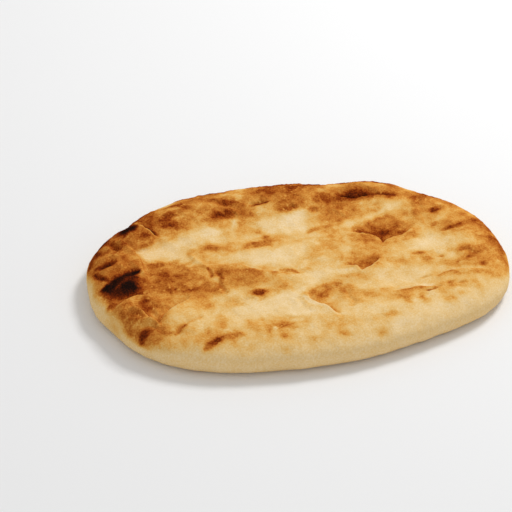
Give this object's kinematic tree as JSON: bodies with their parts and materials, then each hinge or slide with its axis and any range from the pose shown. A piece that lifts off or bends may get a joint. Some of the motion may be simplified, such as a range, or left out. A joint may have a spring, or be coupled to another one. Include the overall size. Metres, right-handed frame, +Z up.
{
  "type": "naan",
  "caption": "Oval leavened flatbread with a puffed rim, sunken blisters and folds in its toasted top skin, rounded sides and a flat underside to rest on.",
  "frame": {"origin": "middle of the bread's footprint on the surface it lies on", "axes": "+X along the bread's length, +Y across it towards the thick back rim, +Z up through the toasted side"},
  "size_m": [0.2306, 0.1536, 0.0205],
  "materials": {
    "toasted_bread": "matte"
  },
  "bodies": {
    "root": {"naan": "toasted_bread"}
  },
  "joints": []
}
